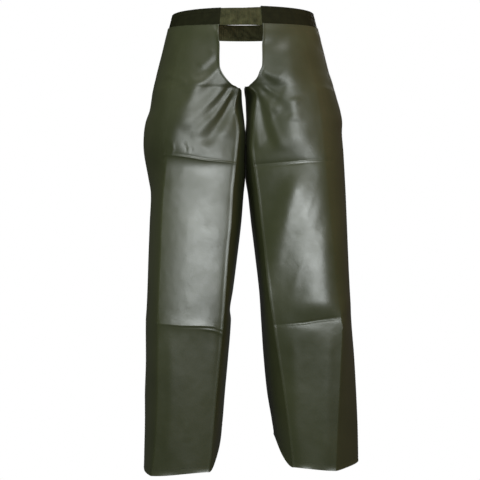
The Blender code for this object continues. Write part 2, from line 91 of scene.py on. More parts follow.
# The vinyl cloth
cloth = {
    "wall": 0.0013,
    "hemLimit": -1.050,
    "frontEaseEnd": 0.08,  # the rows follow the top edge down to this share of the length
    "backEaseEnd": 0.30,
    "hemEaseStart": 0.8,
    "rowSamples": 4000,
    "rowSpacing": 0.0048,
    "rowClusters": ((-0.150, 0.040, 0.0080), (-0.325, 0.013, 0.0013), (-0.703, 0.014, 0.0013)),
    "sideColumns": 30,
    "frontColumns": 62,
    "insideColumns": 22,
    "backInnerColumns": 20,
    "backColumns": 24,
    "backOuterColumns": 24,
    "lastTurn": 5.99999,  # just short of 6, where the section closes
}

sectionColumns = "height outer crease creaseY seam seamY inner innerY backInner back".split()

rightLegRows = (
    (-0.020, 0.1805, 0.134, -0.078, 0.0527, -0.109, 0.012, -0.108, 0.048, 0.108),
    (-0.058, 0.1896, 0.143, -0.086, 0.0527, -0.114, 0.012, -0.100, 0.048, 0.112),
    (-0.113, 0.2035, 0.154, -0.094, 0.0527, -0.117, 0.012, -0.070, 0.048, 0.116),
    (-0.126, 0.2065, 0.157, -0.096, 0.0483, -0.116, 0.011, -0.055, 0.048, 0.117),
    (-0.140, 0.210, 0.159, -0.098, 0.0391, -0.113, 0.009, -0.040, 0.048, 0.118),
    (-0.154, 0.213, 0.162, -0.100, 0.0253, -0.107, 0.007, -0.025, 0.048, 0.118),
    (-0.161, 0.2145, 0.163, -0.101, 0.0112, -0.100, 0.0055, -0.012, 0.048, 0.118),
    (-0.202, 0.2208, 0.168, -0.102, 0.018, -0.094, 0.000, 0.000, 0.048, 0.117),
    (-0.228, 0.2299, 0.171, -0.102, 0.013, -0.091, -0.0032, 0.004, 0.046, 0.115),
    (-0.257, 0.2346, 0.173, -0.101, 0.0085, -0.090, -0.0058, 0.006, 0.044, 0.112),
    (-0.300, 0.2346, 0.174, -0.101, 0.012, -0.089, -0.006, 0.008, 0.044, 0.107),
    (-0.361, 0.224, 0.179, -0.101, 0.0185, -0.089, -0.0054, 0.008, 0.044, 0.100),
    (-0.399, 0.218, 0.183, -0.102, 0.0222, -0.090, -0.0016, 0.008, 0.046, 0.096),
    (-0.467, 0.2207, 0.187, -0.103, 0.026, -0.092, 0.0038, 0.007, 0.052, 0.090),
    (-0.533, 0.2232, 0.189, -0.105, 0.0322, -0.094, 0.0115, 0.006, 0.058, 0.085),
    (-0.628, 0.2262, 0.193, -0.108, 0.0391, -0.097, 0.0238, 0.004, 0.068, 0.079),
    (-0.669, 0.228, 0.194, -0.109, 0.042, -0.098, 0.0308, 0.004, 0.074, 0.077),
    (-0.698, 0.2299, 0.194, -0.1095, 0.0445, -0.0985, 0.0284, 0.003, 0.073, 0.076),
    (-0.800, 0.2299, 0.195, -0.104, 0.0545, -0.0945, 0.0365, 0.002, 0.079, 0.075),
    (-0.868, 0.2322, 0.196, -0.100, 0.0612, -0.0915, 0.0427, 0.002, 0.084, 0.076),
    (-0.933, 0.2322, 0.199, -0.097, 0.0669, -0.089, 0.048, 0.002, 0.089, 0.078),
    (-1.000, 0.2335, 0.204, -0.094, 0.0729, -0.087, 0.055, 0.002, 0.094, 0.080),
    (-1.050, 0.2346, 0.211, -0.092, 0.079, -0.086, 0.060, 0.002, 0.098, 0.082),
)

leftLegRows = (
    (-0.020, 0.1785, 0.132, -0.078, 0.0425, -0.111, 0.010, -0.108, 0.048, 0.108),
    (-0.058, 0.1896, 0.143, -0.086, 0.0425, -0.115, 0.010, -0.100, 0.048, 0.112),
    (-0.113, 0.2035, 0.155, -0.094, 0.0425, -0.118, 0.010, -0.070, 0.048, 0.116),
    (-0.126, 0.208, 0.158, -0.096, 0.037, -0.117, 0.009, -0.055, 0.048, 0.117),
    (-0.140, 0.2125, 0.161, -0.098, 0.031, -0.114, 0.006, -0.040, 0.048, 0.118),
    (-0.152, 0.2155, 0.164, -0.100, 0.019, -0.108, 0.0035, -0.025, 0.048, 0.118),
    (-0.158, 0.2175, 0.166, -0.101, 0.0125, -0.103, 0.003, -0.008, 0.044, 0.118),
    (-0.174, 0.222, 0.169, -0.102, 0.0285, -0.101, 0.0055, -0.002, 0.040, 0.118),
    (-0.202, 0.230, 0.174, -0.102, 0.028, -0.099, 0.0071, 0.002, 0.034, 0.117),
    (-0.228, 0.2346, 0.178, -0.102, 0.024, -0.095, 0.009, 0.004, 0.028, 0.115),
    (-0.257, 0.234, 0.181, -0.101, 0.0225, -0.093, 0.0072, 0.006, 0.024, 0.112),
    (-0.300, 0.2375, 0.185, -0.101, 0.0193, -0.091, 0.007, 0.006, 0.023, 0.107),
    (-0.361, 0.241, 0.191, -0.101, 0.0275, -0.090, 0.0075, 0.006, 0.024, 0.100),
    (-0.400, 0.243, 0.194, -0.102, 0.033, -0.091, 0.0118, 0.007, 0.034, 0.096),
    (-0.467, 0.2458, 0.200, -0.103, 0.0405, -0.093, 0.019, 0.008, 0.050, 0.090),
    (-0.533, 0.2484, 0.206, -0.105, 0.049, -0.095, 0.027, 0.006, 0.066, 0.085),
    (-0.628, 0.2524, 0.215, -0.108, 0.060, -0.098, 0.038, 0.004, 0.085, 0.079),
    (-0.698, 0.2559, 0.226, -0.109, 0.0685, -0.099, 0.0427, 0.003, 0.090, 0.076),
    (-0.784, 0.263, 0.224, -0.104, 0.0815, -0.095, 0.0485, 0.002, 0.096, 0.075),
    (-0.868, 0.2678, 0.220, -0.100, 0.0943, -0.0915, 0.0569, 0.002, 0.103, 0.076),
    (-0.933, 0.2708, 0.217, -0.097, 0.1027, -0.089, 0.0678, 0.002, 0.112, 0.078),
    (-1.000, 0.2725, 0.214, -0.094, 0.1103, -0.087, 0.078, 0.002, 0.121, 0.080),
    (-1.050, 0.273, 0.213, -0.092, 0.1145, -0.086, 0.085, 0.002, 0.126, 0.082),
)

# Packing folds, sharp creases that cross a panel, in millimetres. Each place along one gives outward,
# height, how proud (negative for a valley) and how far the cloth leans above and below. Lines beside it:
# drop, proud, width and between which two outward places they grow
rightUpperFold = {
    "places": (
        (178, -314, 0.6, 16, 4), (171, -314.9, 1, 26, 4.5),
        (143.9, -317.8, 1.2, 32, 5.5), (115.4, -321.7, 1.3, 34, 6),
        (84.4, -327.2, 1.3, 34, 6), (47.5, -329.9, 1.2, 28, 5.5),
        (16.4, -333.6, 0.8, 18, 5),
    ),
    "lines": ((-0.8, 0.5, 1.2, 180, 140), (-5, -0.3, 1.6, 180, 140)),
}
rightLowerFold = {
    "places": (
        (196, -697.5, 0.8, 10, 7), (189, -698, 1.8, 10, 11),
        (141.2, -701.9, 2.5, 11, 14), (88.9, -703, 2.5, 11, 15),
        (66.2, -705.8, 2.1, 10, 13), (48, -713.7, 1.4, 8, 9),
    ),
    "lines": ((8.5, 0.9, 2.6, 110, 55), (4, -0.3, 2.2, 190, 100)),
}
leftUpperFold = {
    "places": (
        (23.2, -336.5, -2, 6, 10), (62.4, -333.6, -2.4, 7, 16),
        (106, -330.8, -2.4, 8, 18), (149.8, -327.2, -1.7, 8, 16),
        (178, -326.2, -1.1, 7, 12), (205, -325.5, -0.6, 6, 10),
    ),
    "lines": ((1, 0.4, 1.1, 220, 160), (5, -0.3, 1.2, 200, 120)),
}
leftLowerFold = {
    "places": (
        (68.8, -701.9, -1, 18, 4), (102.9, -700.8, -1.2, 20, 5),
        (113, -699.9, -1.4, 21, 6), (138.4, -697.6, -1.9, 22, 8.5),
        (170.2, -692.1, -2.2, 22, 10), (204.3, -688, -1.9, 20, 9),
        (233, -685.3, -1.1, 12, 5),
    ),
    "lines": ((1, 0.4, 1.1, 60, 120), (-3, -0.3, 1.4, 80, 150)),
}

# The folds go on round the back, softer
rightBackFoldLines = (
    {"places": ((40, -329, 1.6, 12, 6), (120, -322, 2.2, 14, 7),
                (190, -316, 1.4, 12, 4)), "lines": ((-0.8, 0.4, 1.2, 30, 80),)},
    {"places": ((72, -709, 1.6, 8, 6), (140, -704, 2.4, 9, 7),
                (205, -699, 1.2, 8, 4)), "lines": ((7.8, 0.5, 1.6, 200, 100),)},
)
leftBackFoldLines = (
    {"places": ((40, -334, -1.6, 7, 12), (120, -329, -2.2, 8, 15),
                (205, -325, -1, 7, 10)), "lines": ((1, 0.3, 1.1, 40, 100),)},
    {"places": ((90, -702, -1.6, 12, 5), (160, -695, -2.8, 13, 9),
                (235, -687, -1.2, 8, 5)), "lines": ((1, 0.3, 1.1, 40, 100),)},
)

# Soft folds and pulls, in millimetres: outward and height of both ends, width at both ends, and how proud
# (negative for a trough)
rightFrontFolds = (
    # pulls that fan out from the bottom of the front opening
    (23, -162.7, 116.2, -276.3, 6, 13, 2.1),
    (20.7, -174, 87.5, -293, 7, 15, -2.8),
    (16, -206, 48, -275, 7, 17, 1.4),
    (38.9, -144.5, 136.6, -258, 10, 22, 2.8),
    (29.8, -158, 86.6, -230.8, 4.5, 10, -1.1),
    (27, -166, 70, -236, 1.8, 3, 0.5),
    (34, -150, 90, -206, 1.8, 3.4, 0.5),
    (30, -188, 64, -248, 1.6, 3, -0.4),
    (13, -170, 18, -230, 4, 5, -1),
    # the broad one that parts the hip from the thigh
    (90, -130, 188, -305, 24, 28, 4.2),
    # shorter ones beside it and below the waistband
    (66.2, -76.3, 100.3, -115, 8, 10, 1.2),
    (56, -96, 115, -140, 7, 13, -1.3),
    (56, -118, 130, -178, 6, 14, 1.3),
    (70.7, -21.8, 52.5, -65, 4, 4, 1),
    (62, -24, 50, -52, 3.4, 3, -0.9),
    (182, -128.6, 125.2, -153.6, 6, 8, 0.9),
    (170, -205, 110, -170, 8, 10, -0.9),
    # where the cloth bulges above the upper packing fold
    (161.6, -286, 164, -314, 3.4, 3, 0.8),
    (138.9, -287, 128.7, -307.5, 2.8, 2.8, -0.8),
    (124, -294, 118, -310, 3, 2.8, -0.5),
    # soft upright folds of the shin
    (66, -725, 76, -1030, 13, 13, 1),
    (118, -730, 126, -1020, 22, 22, -0.8),
    (165, -725, 172, -1020, 13, 13, 1),
)

leftFrontFolds = (
    (33.8, -164.9, 83.8, -217.2, 6, 13, 1.9),
    (38.3, -183.1, 65.6, -294.4, 5.8, 12, -2.2),
    (29.3, -212.6, 36.1, -300, 6, 10, 1.3),
    (56.5, -196.7, 90.6, -303.5, 6, 14, 1.5),
    (72.4, -183.1, 111.1, -226.3, 11, 18, -1),
    (117.9, -185, 122.4, -240, 12, 15, 1.4),
    (42.9, -121.8, 90.6, -139.9, 7, 12, 1.4),
    (45, -138, 98, -164, 7, 13, -1.1),
    (41, -156, 125, -200, 6, 15, 0.9),
    (35, -170, 70, -230, 1.8, 3, 0.5),
    (40, -145, 90, -180, 1.8, 3.2, -0.4),
    (130, -70, 170, -150, 12, 16, 1),
    (100, -50, 118, -315, 34, 44, 6.2),
    (134, -350, 36, -680, 26, 38, 4.4),
    (160, -410, 130, -500, 6, 7, 0.3),
    (125, -490, 90, -570, 6, 8, -0.3),
    (150, -540, 110, -630, 8, 9, 0.4),
    (190, -440, 125, -660, 14, 20, -0.6),
    (115.6, -730, 128, -1020, 13, 13, 1),
    (197.5, -720, 193, -1020, 13, 14, 1.1),
    (156, -730, 158, -1020, 18, 18, -0.8),
)

rightBackFolds = (
    (70, -150, 165, -230, 10, 18, 3),
    (60, -185, 140, -270, 8, 16, -2.4),
    (75, -540, 180, -520, 12, 14, 2.2),
    (80, -565, 190, -560, 12, 16, -2),
    (130, -740, 135, -1010, 14, 14, 1.4),
)

leftBackFolds = (
    (66, -145, 150, -215, 10, 17, 2.8),
    (55, -190, 150, -255, 9, 17, -2.2),
    (75, -520, 190, -545, 13, 15, 2.4),
    (80, -550, 200, -575, 12, 16, -2),
    (160, -730, 170, -1010, 14, 14, 1.4),
)

legs = (
    {
        "name": "Right", "node": "right", "side": -1, "rows": rightLegRows,
        "hem": (-1.044, -1.048, -1.040, -0.958, -0.985, -1.025),
        "frontFolds": rightFrontFolds, "frontLines": (rightUpperFold, rightLowerFold),
        "backFolds": rightBackFolds, "backLines": rightBackFoldLines,
        "casingTop": 0.0225, "frontTop": -0.0178, "crotch": -0.1610, "creaseStart": -0.290,
        "buckleSeed": 3.1,
    },
    {
        "name": "Left", "node": "left", "side": 1, "rows": leftLegRows,
        "hem": (-1.030, -1.036, -1.029, -0.968, -0.985, -1.018),
        "frontFolds": leftFrontFolds, "frontLines": (leftUpperFold, leftLowerFold),
        "backFolds": leftBackFolds, "backLines": leftBackFoldLines,
        "casingTop": 0.0262, "frontTop": -0.0156, "crotch": -0.1580, "creaseStart": -0.645,
        "buckleSeed": 17.4,
    },
)


# The form of a leg: a closed section at each height, walked by "turn" from the outseam (0)
# over the outer crease (1), inseam (2), innermost line (3) and the back's corners (4, 5) to 6
def sectionAt(rows, z):
    table = np.array(rows)
    heights = table[:, 0]
    index = np.clip(np.searchsorted(-heights, -z, side="right") - 1, 0, len(heights) - 2)
    before = np.maximum(index - 1, 0)
    after = np.minimum(index + 2, len(heights) - 1)
    span = heights[index + 1] - heights[index]
    share = np.clip((z - heights[index]) / span, 0.0, 1.0)
    section = {}
    for column, name in enumerate(sectionColumns):
        values = table[:, column]
        firstSlope = (values[index + 1] - values[before]) / (heights[index + 1] - heights[before])
        lastSlope = (values[after] - values[index]) / (heights[after] - heights[index])
        section[name] = hermite(
            values[index], values[index + 1], firstSlope * span, lastSlope * span, share
        )
    return section


backForm = {
    "hip": (0.57, 0.90, 0.97),  # outer corner's share of the width, both corners' shares of the depth
    "leg": (0.74, 1.00, 0.93),
    "start": -0.100,
    "length": 0.150,
}
sharpForm = {"seam": 0.55, "hipCrease": 0.10, "legCrease": 0.62, "outseamFullness": 0.62, "fade": 0.06}


def sectionKnots(section):
    below = smoothStep((backForm["start"] - section["height"]) / backForm["length"])
    share, depth, innerDepth = (mix(a, b, below) for a, b in zip(backForm["hip"], backForm["leg"]))
    width = section["outer"] - section["inner"]
    flat = np.zeros_like(width)
    return np.array((
        (section["outer"], flat),
        (section["crease"], section["creaseY"]),
        (section["seam"], section["seamY"]),
        (section["inner"], section["innerY"]),
        (section["backInner"], section["back"] * innerDepth),
        (section["inner"] + share * width, section["back"] * depth),
    ))


def legPoint(leg, turn, z):
    knots = sectionKnots(sectionAt(leg["rows"], z))
    directions = unit(np.roll(knots, -1, axis=0) - np.roll(knots, 1, axis=0), axis=1)
    directions[0, 0], directions[0, 1] = 0.0, -1.0
    directions[3, 0], directions[3, 1] = 0.0, 1.0
    creased = smoothStep((leg["creaseStart"] - z) / sharpForm["fade"])
    sharpness = np.zeros((6,) + z.shape)
    sharpness[1] = mix(sharpForm["hipCrease"], sharpForm["legCrease"], creased)
    sharpness[2] = sharpForm["seam"]
    fullness = np.ones((6,) + z.shape)
    fullness[0] = sharpForm["outseamFullness"]
    index = np.clip(turn.astype(int), 0, 5)
    after = (index + 1) % 6
    share = turn - index

    def pick(values, which):
        if values.ndim == which.ndim + 2:
            which = which[None]
        return np.take_along_axis(values, which[None], axis=0)[0]

    start, end = pick(knots, index), pick(knots, after)
    chord = end - start
    length = np.linalg.norm(chord, axis=0)
    straight = chord / length
    leave = mix(pick(directions, index), straight, pick(sharpness, index)) * pick(fullness, index)
    arrive = mix(pick(directions, after), straight, pick(sharpness, after)) * pick(fullness, after)
    return hermite(start, end, leave * length, arrive * length, share)


def ringPoint(angle, z, inset=0.0):
    grown = -waist["flare"] * z - inset
    return np.array((
        (waist["halfWidth"] + grown) * np.sin(angle),
        -(waist["halfDepth"] + grown) * np.cos(angle),
    ))


def edgeAngle(leg):  # where the edge of the front opening meets the waist ring
    return math.asin(leg["rows"][0][4] / waist["halfWidth"])


def basePoint(leg, turn, z):
    flat = legPoint(leg, turn, z)
    share = smoothStep((waist["blendStart"] - z) / (waist["blendStart"] - waist["blendEnd"]))
    edge = math.degrees(edgeAngle(leg))
    stops = (waist["sideAngle"], waist["creaseAngle"], edge, waist["innerAngle"])
    stops += (waist["backInnerAngle"], waist["backAngle"], waist["sideAngle"])
    angle = np.radians(np.interp(turn, range(7), stops))
    lapped = ringPoint(angle, z, -(waist["panelWall"] + waist["lapGap"]))
    flat = mix(lapped, flat, share)
    return np.stack((flat[0], flat[1], z), axis=-1)


probe = {"turn": 0.02, "height": 0.002}  # how far apart the cloth's slope is measured


def alongSection(leg, turn, z):
    step = probe["turn"]
    return unit(basePoint(leg, (turn + step) % 6, z) - basePoint(leg, (turn - step) % 6, z))


def clothNormal(leg, turn, z):
    step = probe["height"]
    upwards = basePoint(leg, turn, z + step) - basePoint(leg, turn, z - step)
    return unit(np.cross(upwards, alongSection(leg, turn, z)))


def hemHeight(leg, turn):
    hems = np.array(leg["hem"] + leg["hem"][:1])
    index = np.clip(turn.astype(int), 0, 5)
    return mix(hems[index], hems[index + 1], smoothStep(turn - index))


# The back panel's top edge: a low saddle at the crotch, then up to the casing. Height (or the rise's
# power), the turn where it starts and how many turns it takes
seatEdge = {"lift": (0.007, 2.0, 0.8), "drop": (0.016, 2.8, 1.0), "rise": (1.4, 3.7, 1.3)}


def backTop(leg, turn):
    lift, drop, rise = (smoothStep((turn - start) / length) for _, start, length in seatEdge.values())
    saddle = leg["crotch"] + seatEdge["lift"][0] * lift - seatEdge["drop"][0] * drop
    return mix(saddle, waist["sideTop"], rise ** seatEdge["rise"][0])


# Relief: what lifts the cloth off its plain form
foldShape = {
    "bow": 0.004,  # how far a soft fold curves off its straight line
    "fadeIn": (0.06, 0.20),  # shares of its length: how far before its end it begins, how soon it is whole
    "fadeOut": (0.06, 0.24),
    "tip": 0.0009,  # radius at the top of a packing fold
    "endFade": 0.008,
}


def foldRelief(folds, across, z):
    total = np.zeros_like(z)
    for startX, startZ, endX, endZ, startWidth, endWidth, height in inMetres(folds):
        lineX, lineZ = endX - startX, endZ - startZ
        length = math.hypot(lineX, lineZ)
        along = ((across - startX) * lineX + (z - startZ) * lineZ) / length ** 2
        bow = foldShape["bow"] * np.sin(math.pi * np.clip(along, 0, 1))
        away = ((across - startX) * lineZ - (z - startZ) * lineX) / length - bow
        width = mix(startWidth, endWidth, np.clip(along, 0, 1))
        before, growth = foldShape["fadeIn"]
        past, decline = foldShape["fadeOut"]
        ends = smoothStep((along + before) / growth) * smoothStep((1.0 + past - along) / decline)
        total += height * ends * np.exp(-((away / width) ** 2))
    return total


def packingRelief(lines, across, z):
    total = np.zeros_like(z)
    for line in lines:
        places = inMetres(sorted(line["places"]))
        outward = places[:, 0]
        level, proud, above, below = (np.interp(across, outward, column) for column in places.T[1:])
        drop = level - z
        lean = np.where(drop < 0, above, below)
        away = np.sqrt(drop ** 2 + foldShape["tip"] ** 2) - foldShape["tip"]
        relief = proud * np.exp(-away / lean)
        for beside, height, width, nothing, whole in inMetres(line["lines"]):
            grown = smoothStep((across - nothing) / (whole - nothing))
            relief += height * grown * np.exp(-(((drop - beside) / width) ** 2))
        past = np.maximum(outward[0] - across, across - outward[-1])
        total += relief * (1.0 - smoothStep(past / foldShape["endFade"]))
    return total


buckles = {
    "broad": (0.0006, (9.0, 9.0, 5.0)),  # height, then how many to a metre each way
    "middle": (0.00022, (24.0, 24.0, 16.0)),
    "small": (0.00012, (70.0, 70.0, 55.0)),
}


def buckleRelief(points, seed):
    flat = points.reshape(-1, 3)
    total = np.zeros(len(flat))
    for height, (perX, perY, perZ) in buckles.values():
        total += height * np.array([
            noise.noise(Vector((x * perX + seed, y * perY - seed, z * perZ + 2 * seed))) for x, y, z in flat
        ])
    return total.reshape(points.shape[:-1])


def rowShares():  # how far down each row lies, closer together where the cloth is folded
    heights = np.linspace(waist["sideTop"], cloth["hemLimit"], cloth["rowSamples"])
    density = np.full_like(heights, 1.0 / cloth["rowSpacing"])
    for place, spread, spacing in cloth["rowClusters"]:
        density += np.exp(-(((heights - place) / spread) ** 2)) / spacing
    total = np.concatenate(([0.0], np.cumsum(density[1:] * -np.diff(heights))))
    rows = np.interp(np.linspace(0.0, total[-1], round(total[-1])), total, heights)
    return (waist["sideTop"] - rows) / (waist["sideTop"] - cloth["hemLimit"])


# Meshes
def newObject(name, data):
    made = bpy.data.objects.new(name, data)
    bpy.context.scene.collection.objects.link(made)
    return made


def clothMesh(name, grid, uv, flip):
    rows, columns = grid.shape[:2]
    here = np.arange(rows * columns).reshape(rows, columns)
    faces = np.stack((here[:-1, :-1], here[:-1, 1:], here[1:, 1:], here[1:, :-1]), axis=-1).reshape(-1, 4)
    mesh = bpy.data.meshes.new(name)
    mesh.from_pydata(grid.reshape(-1, 3).tolist(), [], faces[:, ::-1 if flip else 1].tolist())
    layer = mesh.uv_layers.new(name="cloth")
    loops = np.zeros(len(mesh.loops), dtype=np.int32)
    mesh.loops.foreach_get("vertex_index", loops)
    layer.data.foreach_set("uv", uv.reshape(-1, 2)[loops].astype(np.float32).ravel())
    return newObject(name, mesh)


def select(piece):
    bpy.ops.object.select_all(action="DESELECT")
    piece.select_set(True)
    bpy.context.view_layer.objects.active = piece


def thicken(piece, thickness, materials):
    for material in materials:
        piece.data.materials.append(material)
    select(piece)
    wall = piece.modifiers.new("wall", "SOLIDIFY")
    wall.thickness = thickness
    wall.offset = -1.0
    wall.material_offset = 1
    wall.material_offset_rim = 2
    bpy.ops.object.modifier_apply(modifier=wall.name)
    bpy.ops.object.shade_smooth_by_angle(angle=math.radians(50))


def rowLengths(grid):  # metres along each row of the cloth
    lengths = np.zeros(grid.shape[:2])
    lengths[:, 1:] = np.cumsum(np.linalg.norm(np.diff(grid, axis=1), axis=2), axis=1)
    return lengths


def gridUv(grid):
    return np.stack((rowLengths(grid), grid[:, :, 2]), axis=-1)


# Finishes. Each look has a light and a dark colour and the span of its pattern between them
def newMaterial(name):
    material = bpy.data.materials.new(name)
    material.use_nodes = True
    nodes = material.node_tree.nodes
    return material, nodes, material.node_tree.links, nodes["Principled BSDF"]


def addNode(nodes, kind, **settings):
    node = nodes.new(kind)
    for key, value in settings.items():
        setattr(node, key, value)
    return node


def setInputs(node, values):
    for name, value in values.items():
        node.inputs[name].default_value = value


def noiseNode(nodes, links, vector, scale, detail=2.0, roughness=0.5):
    node = nodes.new("ShaderNodeTexNoise")
    setInputs(node, {"Scale": scale, "Detail": detail, "Roughness": roughness})
    links.new(vector, node.inputs["Vector"])
    return node.outputs["Fac"]


def rangeNode(nodes, links, value, low, high, newLow, newHigh):
    node = nodes.new("ShaderNodeMapRange")
    setInputs(node, {"From Min": low, "From Max": high, "To Min": newLow, "To Max": newHigh})
    links.new(value, node.inputs["Value"])
    return node.outputs["Result"]


def bumpNode(nodes, links, height, strength, distance, under=None):
    node = nodes.new("ShaderNodeBump")
    setInputs(node, {"Strength": strength, "Distance": distance})
    links.new(height, node.inputs["Height"])
    if under is not None:
        links.new(under, node.inputs["Normal"])
    return node.outputs["Normal"]


def waveNode(nodes, links, vector, direction, scale, distortion=0.0):
    node = addNode(nodes, "ShaderNodeTexWave", wave_type="BANDS", wave_profile="SIN")
    node.bands_direction = direction
    setInputs(node, {"Scale": scale, "Distortion": distortion})
    links.new(vector, node.inputs["Vector"])
    return node.outputs["Fac"]


def mathNode(nodes, links, operation, *values):  # a value is a socket or a number
    node = addNode(nodes, "ShaderNodeMath", operation=operation)
    for socket, value in zip(node.inputs, values):
        if isinstance(value, float):
            socket.default_value = value
        else:
            links.new(value, socket)
    return node.outputs[0]


def colourBy(nodes, links, pattern, look):
    node = nodes.new("ShaderNodeValToRGB")
    for stop, place, colour in zip(node.color_ramp.elements, look["span"], (look["dark"], look["light"])):
        stop.position = place
        stop.color = (*colour, 1.0)
    links.new(pattern, node.inputs["Fac"])
    links.new(node.outputs["Color"], nodes["Principled BSDF"].inputs["Base Color"])


vinylLook = {
    "light": (0.0425, 0.0485, 0.0210),
    "dark": (0.0315, 0.0368, 0.0150),
    "span": (0.3, 0.7),
    "surface": {"IOR": 1.52, "Specular IOR Level": 0.62},
    "rough": (0.30, 0.37),
    "crumpled": 0.08,  # so much duller at the top, where fine creases break the shine up
    "crumpledHeights": (-0.34, -0.24),
    "patches": (7.0, 3.0),  # scale and detail
    "rubbed": (26.0, 4.0, 0.6),
    "crinkle": (110.0, 4.0, 0.55),
    "crinkleBump": (0.10, 0.0010),  # strength and height
    "grain": (900.0, 2.0, 0.5),
    "grainBump": (0.12, 0.0002),
}


def makeVinyl(name, look):
    material, nodes, links, shader = newMaterial(name)
    place = nodes.new("ShaderNodeTexCoord").outputs["Object"]
    colourBy(nodes, links, noiseNode(nodes, links, place, *look["patches"]), look)
    rubbed = noiseNode(nodes, links, place, *look["rubbed"])
    rough = rangeNode(nodes, links, rubbed, *look["span"], *look["rough"])
    axes = nodes.new("ShaderNodeSeparateXYZ")
    links.new(place, axes.inputs[0])
    crumpled = rangeNode(nodes, links, axes.outputs["Z"], *look["crumpledHeights"], 0.0, look["crumpled"])
    links.new(mathNode(nodes, links, "ADD", rough, crumpled), shader.inputs["Roughness"])
    setInputs(shader, look["surface"])
    crinkle = noiseNode(nodes, links, place, *look["crinkle"])
    grain = noiseNode(nodes, links, place, *look["grain"])
    bumped = bumpNode(nodes, links, crinkle, *look["crinkleBump"])
    bumped = bumpNode(nodes, links, grain, *look["grainBump"], bumped)
    links.new(bumped, shader.inputs["Normal"])
    return material


cutEdgeLook = {
    "light": (0.056, 0.060, 0.038),
    "dark": (0.030, 0.034, 0.020),
    "span": (0.3, 0.7),
    "fibres": (700.0, 3.0),
    "surface": {"Roughness": 0.6},
    "bump": (0.3, 0.0003),
}
threadLook = {
    "light": (0.050, 0.054, 0.030),
    "dark": (0.022, 0.025, 0.013),
    "span": (0.3, 0.7),
    "fibres": (1500.0, 2.0),
    "surface": {"Roughness": 0.65, "Specular IOR Level": 0.3},
    "bump": None,
}


def makeFibrous(name, look):
    material, nodes, links, shader = newMaterial(name)
    place = nodes.new("ShaderNodeTexCoord").outputs["Object"]
    fibres = noiseNode(nodes, links, place, *look["fibres"])
    colourBy(nodes, links, fibres, look)
    setInputs(shader, look["surface"])
    if look["bump"]:
        links.new(bumpNode(nodes, links, fibres, *look["bump"]), shader.inputs["Normal"])
    return material


backingLook = {
    "light": (0.060, 0.063, 0.042),
    "dark": (0.026, 0.028, 0.018),
    "span": (0.0, 1.0),
    "threads": (260.0, 260.0),  # to a metre, across and down
    "wander": 0.0,
    "weave": "MULTIPLY",
    "weaveShare": 1.0,
    "patches": None,
    "surface": {"Roughness": 0.92, "Sheen Weight": 0.15},
    "bump": (0.35, 0.0003),
}
casingLook = {
    "light": (0.0110, 0.0120, 0.0036),
    "dark": (0.0045, 0.0050, 0.0012),
    "span": (0.35, 0.95),
    "threads": (170.0, 170.0),
    "wander": 0.0,
    "weave": "ADD",
    "weaveShare": 0.25,
    "patches": (60.0, 4.0),
    "surface": {"Roughness": 0.85, "Specular IOR Level": 0.12},
    "bump": (0.25, 0.0004),
}
webbingLook = {
    "light": (0.078, 0.080, 0.036),
    "dark": (0.012, 0.013, 0.004),
    "span": (0.35, 0.95),
    "threads": (210.0, 168.0),
    "wander": 0.6,
    "weave": "MULTIPLY",
    "weaveShare": 0.4,
    "patches": (55.0, 4.0, 0.6),
    "surface": {"Roughness": 0.85, "Specular IOR Level": 0.15},
    "bump": (0.4, 0.0005),
}


def makeWoven(name, look):
    material, nodes, links, shader = newMaterial(name)
    place = addNode(nodes, "ShaderNodeUVMap", uv_map="cloth").outputs["UV"]
    across, down = look["threads"]
    warp = waveNode(nodes, links, place, "X", across, look["wander"])
    weft = waveNode(nodes, links, place, "Y", down)
    weave = mathNode(nodes, links, look["weave"], warp, weft)
    patches = noiseNode(nodes, links, place, *look["patches"]) if look["patches"] else 0.0
    shade = mathNode(nodes, links, "MULTIPLY_ADD", weave, look["weaveShare"], patches)
    colourBy(nodes, links, shade, look)
    setInputs(shader, look["surface"])
    links.new(bumpNode(nodes, links, weave, *look["bump"]), shader.inputs["Normal"])
    return material


vinyl = makeVinyl("oliveVinyl", vinylLook)
thread = makeFibrous("oliveThread", threadLook)
backing = makeWoven("oliveBacking", backingLook)
cutEdge = makeFibrous("oliveCutEdge", cutEdgeLook)
casingCloth = makeWoven("darkCasingCloth", casingLook)
webbingCloth = makeWoven("khakiWebbing", webbingLook)
print("finishes made")


# The four panels
edges = {
    "seamGap": 0.0004,
    "seamDip": (0.0006, 0.0016),  # depth and width
    "allowance": (5.94, 5.965, 5.99),  # places of the front panel's turned-in edge
    "behind": 0.0010,  # how far it stays behind the back panel's inside
    "lip": (0.0008, 0.0024),  # height and width of the rolled edge by the inseam and the front opening
    "lipPlace": 0.0016,
    "seatRoll": (0.0007, 0.0022),
    "seatRollPlace": 0.0020,
    "hemCurl": 0.0014,
    "hemCurlLength": 0.006,
    "hemUneven": 0.4,
    "hemWaves": 9.0,
    "hemTurn": 0.016,  # depth of the turned hem
    "hemGroove": (0.0004, 0.0016),
    "topFade": 0.04,  # folds and buckles grow this far below the casing
    "frontBuckleFade": 0.03,
    "innerCalm": 0.35,  # share of the buckles that is left where the legs nearly touch
}

# Where a relief begins and ends round the leg, and how many turns either takes. An end past the panel's
# own is never reached
reaches = {
    "frontFolds": (0.0, 0.5, 3.0, 1.0),
    "frontBuckles": (0.0, 0.2, 2.0, 0.1),
    "backFolds": (3.4, 0.5, 6.0, 0.4),
    "backBuckles": (2.0, 0.3, 6.0, 0.2),
    "outerBack": (3.4, 0.4, 7.0, 1.0),
    "seatRoll": (3.4, 0.4, 5.0, 0.3),
}


def reach(name, turn):
    start, rise, end, fall = reaches[name]
    return smoothStep((turn - start) / rise) * smoothStep((end - turn) / fall)


